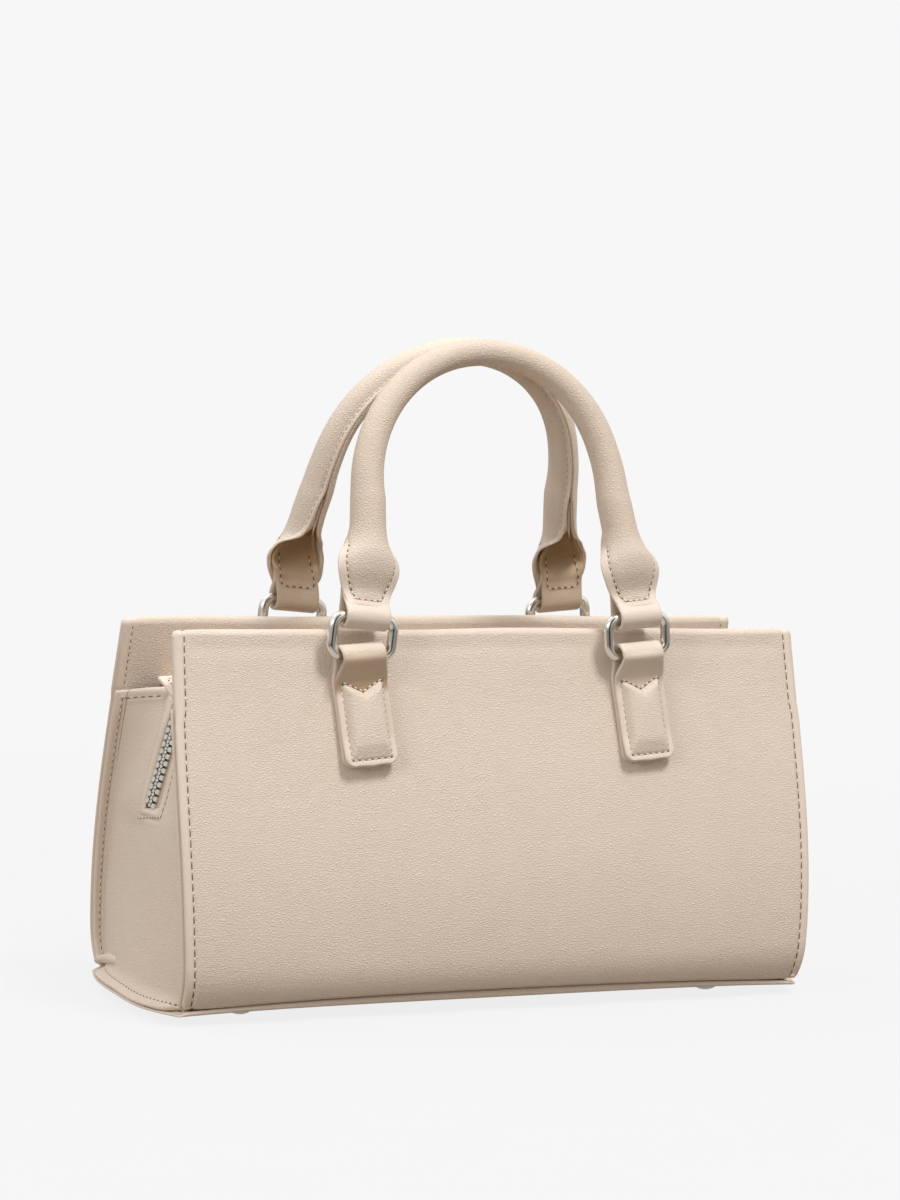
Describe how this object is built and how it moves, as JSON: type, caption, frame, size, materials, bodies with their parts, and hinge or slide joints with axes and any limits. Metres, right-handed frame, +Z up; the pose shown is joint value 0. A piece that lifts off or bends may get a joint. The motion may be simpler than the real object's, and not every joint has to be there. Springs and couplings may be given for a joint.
{
  "type": "tote bag",
  "caption": "Small structured tote bag with rolled top handles on metal rings, a recessed zip top that runs into slots in the folded side gussets, and domed base feet.",
  "frame": {"origin": "on the surface the feet stand on, under the middle of the bag", "axes": "+X along the bag to its right end, -Y out of the front face, +Z up"},
  "size_m": [0.262, 0.0946, 0.2411],
  "materials": {
    "leather": "cream, fine pebble grain, satin",
    "hardware": "polished nickel",
    "zip_tape": "woven tape",
    "lining": "plain woven cloth",
    "board": "stiff fibre board",
    "cord": "twisted cotton cord",
    "foam": "thin foam padding"
  },
  "bodies": {
    "body": {"front_panel": "leather", "front_facing": "leather", "back_panel": "leather", "back_facing": "leather", "front_left_tab": "leather", "front_left_tab_filler": "foam", "front_left_foot": "hardware", "front_left_foot_washer": "hardware", "front_right_tab": "leather", "front_right_tab_filler": "foam", "front_right_foot": "hardware", "front_right_foot_washer": "hardware", "back_left_tab": "leather", "back_left_tab_filler": "foam", "back_left_foot": "hardware", "back_left_foot_washer": "hardware", "back_right_tab": "leather", "back_right_tab_filler": "foam", "back_right_foot": "hardware", "back_right_foot_washer": "hardware", "left_gusset": "leather", "left_front_slot_tape": "zip_tape", "left_front_slot_teeth": "hardware", "left_back_slot_tape": "zip_tape", "left_back_slot_teeth": "hardware", "right_gusset": "leather", "right_front_slot_tape": "zip_tape", "right_front_slot_teeth": "hardware", "right_back_slot_tape": "zip_tape", "right_back_slot_teeth": "hardware", "zip_bottom_stop": "hardware", "zip_top_stop_front": "hardware", "zip_top_stop_back": "hardware", "base_panel": "leather", "base_board": "board", "lining": "lining"},
    "front_flap": {"front_zip_strip": "leather", "front_zip_tape": "zip_tape", "front_zip_teeth": "hardware"},
    "back_flap": {"back_zip_strip": "leather", "back_zip_tape": "zip_tape", "back_zip_teeth": "hardware"},
    "front_left_link": {"front_left_ring": "hardware"},
    "front_right_link": {"front_right_ring": "hardware"},
    "back_left_link": {"back_left_ring": "hardware"},
    "back_right_link": {"back_right_ring": "hardware"},
    "front_handle": {"front_handle_cover": "leather", "front_handle_core": "cord", "front_left_handle_loop": "leather", "front_right_handle_loop": "leather"},
    "back_handle": {"back_handle_cover": "leather", "back_handle_core": "cord", "back_left_handle_loop": "leather", "back_right_handle_loop": "leather"},
    "slider": {"zip_slider": "hardware"},
    "pull": {"zip_pull": "hardware"}
  },
  "joints": [
    {"name": "front_left_ring_swing", "type": "hinge", "parent": "body", "child": "front_left_link", "pos_m": [-0.056, -0.0316, 0.127], "axis": [1, 0, 0], "range_deg": [0, 85]},
    {"name": "front_right_ring_swing", "type": "hinge", "parent": "body", "child": "front_right_link", "pos_m": [0.056, -0.0316, 0.127], "axis": [1, 0, 0], "range_deg": [0, 85]},
    {"name": "front_handle_swing", "type": "hinge", "parent": "front_left_link", "child": "front_handle", "pos_m": [0, -0.0316, 0.14125], "axis": [1, 0, 0], "range_deg": [0, 95]},
    {"name": "front_flap_open", "type": "hinge", "parent": "body", "child": "front_flap", "pos_m": [0, -0.02498, 0.1113], "axis": [1, 0, 0], "range_deg": [0, 58]},
    {"name": "back_left_ring_swing", "type": "hinge", "parent": "body", "child": "back_left_link", "pos_m": [-0.056, 0.0316, 0.127], "axis": [-1, 0, 0], "range_deg": [0, 85]},
    {"name": "back_right_ring_swing", "type": "hinge", "parent": "body", "child": "back_right_link", "pos_m": [0.056, 0.0316, 0.127], "axis": [-1, 0, 0], "range_deg": [0, 85]},
    {"name": "back_handle_swing", "type": "hinge", "parent": "back_left_link", "child": "back_handle", "pos_m": [0, 0.0316, 0.14125], "axis": [-1, 0, 0], "range_deg": [0, 95]},
    {"name": "back_flap_open", "type": "hinge", "parent": "body", "child": "back_flap", "pos_m": [0, 0.02498, 0.1113], "axis": [-1, 0, 0], "range_deg": [0, 58]},
    {"name": "slider_run", "type": "slide", "parent": "body", "child": "slider", "axis": [0.2445, 0, -0.9696], "range_m": [0, 0.029]},
    {"name": "pull_swing", "type": "hinge", "parent": "slider", "child": "pull", "pos_m": [0.11167, 0, 0.10706], "axis": [0, -1, 0], "range_deg": [0, 115]}
  ],
  "couplings": [
    {"joint": "front_right_ring_swing", "follows": "front_left_ring_swing", "ratio": 1},
    {"joint": "back_right_ring_swing", "follows": "back_left_ring_swing", "ratio": 1},
    {"joint": "back_flap_open", "follows": "front_flap_open", "ratio": 1}
  ]
}
